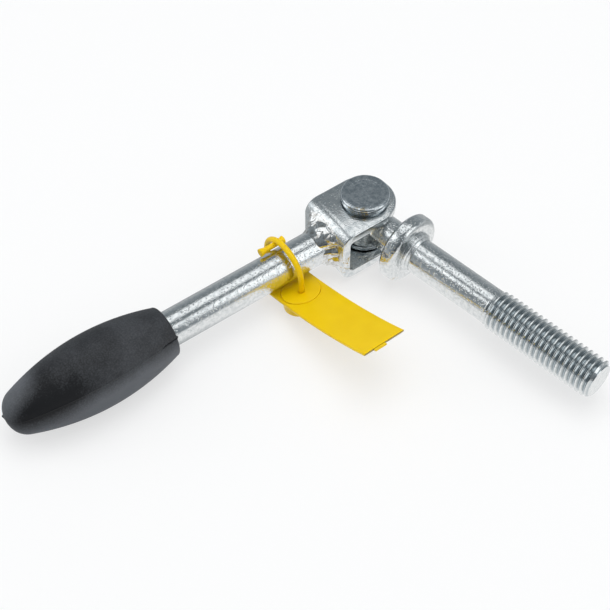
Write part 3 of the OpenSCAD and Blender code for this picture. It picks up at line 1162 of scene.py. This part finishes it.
    def _grip(self) -> bpy.types.Object:
        """The grip, with the parting ridge of its mould on both sides and a torn slit at its mouth.

        Returns:
            The piece.
        """
        ridge = math.radians(self.ridge_turn_deg)
        fine = np.linspace(-0.14, 0.14, 21)
        coarse = np.linspace(0.14, math.pi - 0.14, 60)[1:-1]
        angles = np.concatenate([fine, coarse, fine + math.pi, coarse + math.pi]) + ridge
        start = self.handle_reach - self.grip_len
        near = np.cos(angles - ridge) > 0
        rings = []
        for u, r in self._grip_profile():
            radii, along = np.full(len(angles), r), np.full(len(angles), start + u)
            if u > 0 and r > self.rod_d / 2 + 0.05 or u > self.grip_len / 2:
                across = ((angles - ridge + math.pi / 2) % math.pi - math.pi / 2) * r
                below = np.maximum(np.where(near, -across, across), 0.0)
                ragged = self.slit_ragged * noise.noise(Vector((u * 1.9, 0.0, 3.3)))
                cut = np.exp(-((across - ragged) / (self.slit_w / 2)) ** 2)
                torn = 1 - smooth((u - 0.5 * self.slit_len) / (0.5 * self.slit_len))
                share = min(1.0, r / 3)
                radii += share * self.ridge_h * np.exp(-(across / (self.ridge_w / 2)) ** 2)
                radii -= share * self.mismatch * (1 - np.exp(-below / 0.12)) * np.exp(-below / 2.5)
                radii -= np.where(near, (self.slit_depth + self.ridge_h) * torn * cut, 0.0)
                point = np.exp(-(across / self.nib_half) ** 2)
                spike = self.nib_h * point * hump(u, self.nib_at, 0.4)
                radii += np.where(near, 0.0, 0.4 * spike)
                flash = self.flash_len * point * max(0.0, 1 - u / self.mouth_round)
                along += np.where(near, -flash, 0.9 * spike)
            rings.append(np.c_[along, radii * np.cos(angles), radii * np.sin(angles)])
        mesh = mesh_of("moulding", loft(rings), self.handle.matrix())
        return show("rubber_grip", mesh, self._grip_finish().material(), Body.HANDLE,
                    ["grip"])

    def build(self) -> list[bpy.types.Object]:
        """Makes the handle.

        Returns:
            Its pieces.
        """
        return [self._rod(), self._weld(), self._grip()]


@dataclass
class LoopTag:
    """The yellow tag: bowed plate, disc, locking boss, strap loop and cross bar, moulded in one."""

    handle: HandleFrame
    at: float = 29.0
    width: float = 13.8
    length: float = 46.6
    back: float = 7.6
    thick: float = 1.1
    tilt_deg: float = 16.8
    skew_deg: float = 1.6
    bow_r: float = 192.0
    offset: float = 0.2
    corner: float = 2.0
    edge_round: float = 0.38
    end_ease: float = 0.12
    cut_back: float = 0.5
    cut_run: float = 5.0
    disc_d: float = 11.7
    disc_at: float = 6.3
    disc_rise: float = 0.3
    moat_w: float = 0.22
    moat_depth: float = 0.25
    boss_t: float = 3.77
    top: float = -6.6
    loop_r: float = 8.2
    strap_d: float = 1.8
    leg_deg: float = 18.0
    foot_deg: float = 65.7
    pocket_d: float = 2.3
    pocket_depth: float = 0.4
    bar_len: float = 8.4
    bar_d: float = 2.6
    bar_waist: float = 0.62
    bar_deg: float = 105.0
    bar_off: float = 1.6
    bar_reach: float = 7.0
    nib_w: float = 3.8
    nib_len: float = 0.9
    nib_drop: float = 0.12

    def _place(self) -> Matrix:
        """Moves the tag's frame, with X along the plate, to the part's frame.

        Returns:
            The matrix, in metres.
        """
        turn = Matrix.Rotation(math.radians(90 + self.skew_deg), 4, "Z")
        rise = Matrix.Rotation(math.radians(-self.tilt_deg), 4, "Y")
        return self.handle.matrix() @ Matrix.Translation((self.at * MM, 0, 0)) @ turn @ rise

    def _level(self, x: float) -> float:
        """Height of the bowed plate's upper face at a place along it."""
        return self.top + self.bow_r - math.sqrt(self.bow_r ** 2 - (x - self.disc_at) ** 2)

    def _plate_ring(self, x: float, inset: float) -> np.ndarray:
        """One section of the plate, with eased edges.

        Args:
            x: place along the plate.
            inset: how far the section is drawn in on all sides.

        Returns:
            A closed ring of points.
        """
        inside = max(0.0, self.corner - self.back - x)
        half = self.width / 2 - self.corner + math.sqrt(max(0.0, self.corner ** 2 - inside ** 2)) - inset
        ease = self.edge_round
        middle = self._level(x) - self.thick / 2
        slant = self.cut_back * smooth(1 - (self.length - x) / self.cut_run)
        ring = []
        for quadrant in range(4):
            side, rise = (1, -1, -1, 1)[quadrant], (1, 1, -1, -1)[quadrant]
            for a in np.radians(np.linspace(90 * quadrant, 90 * quadrant + 90, 5)):
                up = rise * (self.thick / 2 - inset - ease) + ease * math.sin(a)
                ring.append((x - slant * (0.5 - up / self.thick),
                             self.offset + side * (half - ease) + ease * math.cos(a), middle + up))
        return np.array(ring)

    def _plate(self) -> Shell:
        """The plate, as rings round its section from the back to the free end.

        Returns:
            Points and faces in the tag's frame.
        """
        first, last, ease = -self.back, self.length, self.end_ease
        stations = [(first, ease), (first + 0.3 * ease, 0.35 * ease), (first + ease, 0.0)]
        stations += [(x, 0.0) for x in np.linspace(first + ease, first + self.corner, 8)[1:]]
        stations += [(x, 0.0) for x in np.linspace(first + self.corner, last - ease, 40)[1:]]
        stations += [(last - 0.3 * ease, 0.35 * ease), (last, ease)]
        return loft([self._plate_ring(x, inset) for x, inset in stations])

    def _round(self, profile: Profile, turn: Matrix, segments: int = 64) -> Shell:
        """A turned part of the moulding.

        Args:
            profile: (along, radius) points.
            turn: moves the turning axis from X to its place, in millimetres.
            segments: points on each ring.

        Returns:
            Points and faces in the tag's frame.
        """
        points, faces = loft(turned_rings(profile, segments))
        return np.array([turn @ Vector(p) for p in points]), faces

    def _disc(self) -> Shell:
        """The disc on the plate and the locking boss under it.

        Returns:
            Points and faces in the tag's frame.
        """
        r, low = self.disc_d / 2, self.top - self.thick - self.boss_t
        high = self.top + self.disc_rise
        up = Matrix.Translation((self.disc_at, 0, 0)) @ Matrix.Rotation(math.radians(-90), 4, "Y")
        profile = softened([(low, 0.5, 0), (low, r, 0.4), (high, r, 0.18), (high, 0.5, 0)])
        return self._round(profile, up, 96)

    def _moat(self) -> Shell:
        """The fine groove that the mould leaves in the plate round the disc.

        Returns:
            Points and faces in the tag's frame.
        """
        r, w = self.disc_d / 2, self.moat_w
        up = Matrix.Translation((self.disc_at, 0, 0)) @ Matrix.Rotation(math.radians(-90), 4, "Y")
        high, low = self.top + 0.4, self.top - self.moat_depth
        section = [(high, r - w), (high, r + w), (low, r + 0.4 * w), (low, r - w)]
        points, faces = loft(turned_rings(section, 96), Ends.JOINED)
        return np.array([up @ Vector(p) for p in points]), faces

    def _leg_foot(self) -> tuple[Vector, Vector]:
        """Where the strap's straight leg leaves its arc, and where it ends in the plate.

        Returns:
            The two points, in the tag's frame.
        """
        lean = math.radians(self.leg_deg)
        start = Vector((self.loop_r * math.cos(lean), 0, -self.loop_r * math.sin(lean)))
        run = (self.thick / 2 - self.top + start.z) / math.cos(lean)
        return start, start + run * Vector((-math.sin(lean), 0, -math.cos(lean)))

    def _pocket(self) -> Shell:
        """The moulded hollow round the foot of the leg.

        Returns:
            Points and faces in the tag's frame.
        """
        start, end = self._leg_foot()
        down = (end - start).normalized()
        share = (self.top + self.disc_rise - self.pocket_depth - start.z) / down.z
        turn = Matrix.Translation(start) @ down.to_track_quat("X", "Z").to_matrix().to_4x4()
        return self._round([(share - 3, 0.4), (share - 3, self.pocket_d / 2), (share, self.pocket_d / 2),
                            (share, 0.4)], turn, 47)

    def _strap(self) -> Shell:
        """The strap over the rod: a straight leg down to the disc, and an arc to the far side.

        Returns:
            Points and faces in the tag's frame.
        """
        r = self.strap_d / 2
        around = np.linspace(0, 2 * math.pi, 29)[:-1]
        start, end = self._leg_foot()
        lean = math.radians(self.leg_deg)
        rings = []
        for share in np.linspace(1, 0, 14)[:-1]:
            centre = start.lerp(end, share)
            rings.append(np.c_[centre.x + r * np.cos(around) * math.cos(lean), r * np.sin(around),
                               centre.z - r * np.cos(around) * math.sin(lean)])
        for a in np.linspace(-lean, math.pi + math.radians(self.foot_deg), 90):
            reach = self.loop_r + r * np.cos(around)
            rings.append(np.c_[reach * math.cos(a), r * np.sin(around), reach * math.sin(a)])
        return loft(rings)

    def _bar(self) -> Shell:
        """The cross bar on the strap, with flared ends.

        Returns:
            Points and faces in the tag's frame.
        """
        half, r = self.bar_len / 2, self.bar_d / 2
        turn = (Matrix.Rotation(math.radians(-self.bar_deg), 4, "Y")
                @ Matrix.Translation((self.bar_reach, -self.bar_off, 0))
                @ Matrix.Rotation(math.radians(-90), 4, "Z"))
        waist = self.bar_waist * r
        return self._round(softened([(-half, 0.02, 0), (-half, r, 0.15), (-half / 2, waist, 1.2),
                                     (half / 2, waist, 1.2), (half, r, 0.15), (half, 0.02, 0)]), turn, 48)

    def _nib(self) -> Shell:
        """The nib left by the sprue at the free end.

        Returns:
            Points and faces in the tag's frame.
        """
        y0, y1 = self.offset - self.nib_w, self.offset
        slope = (self.length - self.disc_at) / self.bow_r
        rings = []
        for run in (-self.nib_len, self.nib_len):
            high = self._level(self.length) + run * slope - self.nib_drop
            x, low = self.length + run, high - self.thick / 2
            rings.append(np.array([(x, y0, low), (x, y1, low), (x, y1, high), (x, y0, high)]))
        return loft(rings)

    def build(self) -> bpy.types.Object:
        """Makes the tag in one skin.

        Returns:
            The piece.
        """
        place = self._place()
        head = mesh_of("disc", self._disc(), place)
        head = worked(head, mesh_of("pocket", self._pocket(), place), Join.CUT)
        for name, shell in (("strap", self._strap()), ("bar", self._bar())):
            head = worked(head, mesh_of(name, shell, place))
        plate = mesh_of("plate", self._plate(), place)
        plate = worked(plate, mesh_of("moat", self._moat(), place), Join.CUT)
        plate = worked(plate, mesh_of("nib", self._nib(), place))
        mesh = worked(plate, head)
        # Plane of the cut end, along which the plastic carries a band of painted shade.
        end = place @ (Vector((self.length, 0, self._level(self.length))) * MM)
        cut = Axis(tuple(end / MM), tuple(place.to_3x3() @ Vector((self.thick, 0, -self.cut_back))))
        return show("loop_tag", mesh, MouldedPlastic(cut).material(), Body.HANDLE,
                    ["tag"])


@dataclass(frozen=True)
class Softbox:
    """A soft panel of light, placed by direction as seen from the object.

    Azimuth 0 is behind the object from the camera, and 90 is to the camera's right. A fill light
    is kept out of the reflections.
    """

    name: str
    azimuth_deg: float
    elevation_deg: float
    wide_deg: float
    high_deg: float
    radiance: float
    mirrored: bool = True


@dataclass
class Studio:
    """The pale floor, the soft light and the camera of the portrait."""

    eye_mm: Point = (187.58, -245.81, 378.21)
    forward: Point = (-0.4150, 0.4420, -0.7952)
    roll_deg: float = -0.22
    focal_px: float = 1680.0
    image_px: float = 610.0
    sensor_mm: float = 36.0
    floor_m: float = 6.0
    floor_tint: str = "#F4F4F4"
    floor_seen: float = 0.6
    floor_reflected: float = 0.93
    floor_clear_mm: tuple[float, float] = (250.0, 900.0)
    card_tint: str = "#B0B4B6"
    card_lines: tuple[Axis, ...] = (Axis((0.0, 11.0, 0.0), (0.0, 1.0, 0.0)),
                                    Axis(PIN_MM, (-0.981, -0.194, 0.0)))
    card_fade_mm: tuple[float, float] = (8.0, 22.0)
    lamp_distance: float = 0.9
    aim_mm: Point = (0.0, -35.0, 0.0)
    room_low: str = "#A2A9AE"
    room_high: str = "#7F868A"
    room_front: str = "#4B5054"
    room_fill: float = 0.3
    room_rise: tuple[float, float] = (0.1, 0.65)
    room_foot: float = 0.12
    front_from: tuple[float, float] = (-0.55, -0.95)
    back_from: tuple[float, float] = (0.3, 0.8)
    boxes: tuple[Softbox, ...] = (
        Softbox("top_panel", 4.0, 69.0, 38.0, 30.0, 0.95),
        Softbox("left_wall", -84.0, 37.0, 28.0, 50.0, 1.2),
        Softbox("right_wall", 107.0, 38.0, 34.0, 48.0, 1.15),
        Softbox("overhead_fill", 180.0, 89.0, 40.0, 40.0, 2.25, mirrored=False),
    )

    def _camera(self) -> None:
        """Sets the camera where the photograph was taken from."""
        data = bpy.data.cameras.new("portrait")
        data.sensor_width = self.sensor_mm
        data.lens = self.focal_px / self.image_px * self.sensor_mm
        data.clip_start, data.clip_end = 0.01, 50.0
        camera = bpy.data.objects.new("portrait", data)
        bpy.context.scene.collection.objects.link(camera)
        look = Vector(self.forward).to_track_quat("-Z", "Y").to_matrix().to_4x4()
        roll = Matrix.Rotation(math.radians(self.roll_deg), 4, "Z")
        camera.matrix_world = Matrix.Translation(Vector(self.eye_mm) * MM) @ look @ roll
        bpy.context.scene.camera = camera

    def _away(self) -> Vector:
        """The level direction from the camera to the object."""
        return Vector((self.forward[0], self.forward[1], 0)).normalized()

    def _direction(self, azimuth_deg: float, elevation_deg: float) -> Vector:
        """Direction from the object, with azimuth 0 away from the camera.

        Args:
            azimuth_deg: turn to the camera's right.
            elevation_deg: height above level.

        Returns:
            A unit vector in the part's frame.
        """
        away = self._away()
        right = Vector((away.y, -away.x, 0))
        az, el = math.radians(azimuth_deg), math.radians(elevation_deg)
        flat = away * math.cos(az) + right * math.sin(az)
        return flat * math.cos(el) + Vector((0, 0, math.sin(el)))

    def _lamp(self, box: Softbox) -> None:
        """Hangs one soft panel.

        Args:
            box: the panel's place, size and brightness.
        """
        data = bpy.data.lights.new(box.name, "AREA")
        data.shape = "RECTANGLE"
        data.size = 2 * self.lamp_distance * math.tan(math.radians(box.wide_deg / 2))
        data.size_y = 2 * self.lamp_distance * math.tan(math.radians(box.high_deg / 2))
        data.energy = box.radiance * math.pi * data.size * data.size_y
        lamp = bpy.data.objects.new(box.name, data)
        bpy.context.scene.collection.objects.link(lamp)
        direction = self._direction(box.azimuth_deg, box.elevation_deg)
        lamp.location = Vector(self.aim_mm) * MM + direction * self.lamp_distance
        lamp.rotation_mode = "QUATERNION"
        lamp.rotation_quaternion = (-direction).to_track_quat("-Z", "Y")
        lamp.visible_glossy = box.mirrored

    def _room(self) -> None:
        """A dim grey room, darkest in front, that runs into the white floor at its foot."""
        world = bpy.data.worlds.new("studio_room")
        world.use_nodes = True
        tree = world.node_tree
        tree.nodes.clear()
        ray = add(tree, "TexCoord").outputs["Generated"]
        height = add(tree, "SeparateXYZ", {0: ray}).outputs["Z"]
        tone = add(tree, "MapRange", {"Value": height, "From Min": self.room_rise[0],
                                      "From Max": self.room_rise[1]})
        walls = add(tree, "Mix", {"Factor": tone.outputs["Result"], 6: linear(self.room_low),
                                  7: linear(self.room_high)}, data_type="RGBA")
        facing = add(tree, "VectorMath", {0: ray, 1: self._away()}, operation="DOT_PRODUCT")
        dim = add(tree, "MapRange", {"Value": facing.outputs["Value"], "From Min": self.front_from[0],
                                     "From Max": self.front_from[1]})
        room = add(tree, "Mix", {"Factor": dim.outputs["Result"], 6: walls.outputs[2],
                                 7: linear(self.room_front)}, data_type="RGBA")
        foot = add(tree, "MapRange", {"Value": height, "From Min": 0.0, "From Max": self.room_foot,
                                      "To Min": self.floor_reflected, "To Max": 0.0})
        back = add(tree, "MapRange", {"Value": facing.outputs["Value"], "From Min": self.back_from[0],
                                      "From Max": self.back_from[1]})
        low = add(tree, "Mix", {"Factor": back.outputs["Result"], 6: WHITE, 7: linear(self.card_tint)},
                  data_type="RGBA")
        swept = add(tree, "Mix", {"Factor": foot.outputs["Result"], 6: room.outputs[2],
                                  7: low.outputs[2]}, data_type="RGBA")
        seen = add(tree, "LightPath")
        fill = add(tree, "Math", {0: seen.outputs["Is Diffuse Ray"], 1: self.room_fill},
                   operation="MULTIPLY")
        white = add(tree, "Math", {0: fill.outputs[0], 1: seen.outputs["Is Camera Ray"]},
                    operation="MAXIMUM")
        shown = add(tree, "Mix", {"Factor": white.outputs[0], 6: swept.outputs[2], 7: WHITE},
                    data_type="RGBA")
        glow = add(tree, "Background", {"Color": shown.outputs[2], "Strength": 1.0})
        add(tree, "OutputWorld", {"Surface": glow.outputs[0]})
        bpy.context.scene.world = world

    def _floor(self) -> None:
        """A matt white board under the object, near white to the eye and in the metal.

        Behind the screw and the rod the metal sees a grey card, which keeps its far edges dark.
        """
        material, tree = empty_material("matt_white_board")
        board = add(tree, "BsdfDiffuse", {"Color": linear(self.floor_tint)})
        seen = add(tree, "LightPath")
        glossy, through = seen.outputs["Is Glossy Ray"], seen.outputs["Is Transmission Ray"]
        sharp = add(tree, "Math", {0: glossy, 1: through}, operation="MAXIMUM")
        mirrored = add(tree, "Math", {0: sharp.outputs[0], 1: self.floor_reflected}, operation="MULTIPLY")
        place = add(tree, "TexCoord").outputs["Object"]
        reach = add(tree, "VectorMath", {0: place}, operation="LENGTH")
        clear = add(tree, "MapRange", {"Value": reach.outputs["Value"],
                                       "From Min": self.floor_clear_mm[0] * MM,
                                       "From Max": self.floor_clear_mm[1] * MM, "To Min": self.floor_seen})
        direct = add(tree, "Math", {0: seen.outputs["Is Camera Ray"], 1: clear.outputs["Result"]},
                     operation="MULTIPLY")
        share = add(tree, "Math", {0: direct.outputs[0], 1: mirrored.outputs[0]}, operation="MAXIMUM")
        beyond = [line.split(tree, place)[0] for line in self.card_lines]
        far = add(tree, "Math", {0: beyond[0], 1: beyond[1]}, operation="MAXIMUM")
        card = add(tree, "MapRange", {"Value": far.outputs[0], "From Min": self.card_fade_mm[0] * MM,
                                      "From Max": self.card_fade_mm[1] * MM})
        dim = add(tree, "Math", {0: card.outputs["Result"], 1: sharp.outputs[0]}, operation="MULTIPLY")
        tone = add(tree, "Mix", {"Factor": dim.outputs[0], 6: WHITE, 7: linear(self.card_tint)},
                   data_type="RGBA")
        glow = add(tree, "Emission", {"Color": tone.outputs[2], "Strength": 1.0})
        both = add(tree, "MixShader", {0: share.outputs[0], 1: board.outputs[0], 2: glow.outputs[0]})
        add(tree, "OutputMaterial", {"Surface": both.outputs[0]})
        half, low = self.floor_m / 2, CAD_BOX[0].z
        mesh = bpy.data.meshes.new("floor")
        mesh.from_pydata([(-half, -half, low), (half, -half, low), (half, half, low), (-half, half, low)],
                         [], [(0, 1, 2, 3)])
        mesh.materials.append(material)
        floor = bpy.data.objects.new("floor", mesh)
        bpy.context.scene.collection.objects.link(floor)

    def build(self) -> None:
        """Sets up the whole studio."""
        bpy.context.scene.view_settings.view_transform = "Standard"
        self._camera()
        self._room()
        self._floor()
        for box in self.boxes:
            self._lamp(box)


def main() -> None:
    """Builds the studio and every piece of the tommy screw."""
    logging.basicConfig(level=logging.INFO, format="%(message)s")
    Studio().build()
    handle = HandleFrame()
    EyeScrew().build()
    Hinge(handle).build()
    Handle(handle).build()
    LoopTag(handle).build()


if __name__ == "__main__":
    main()
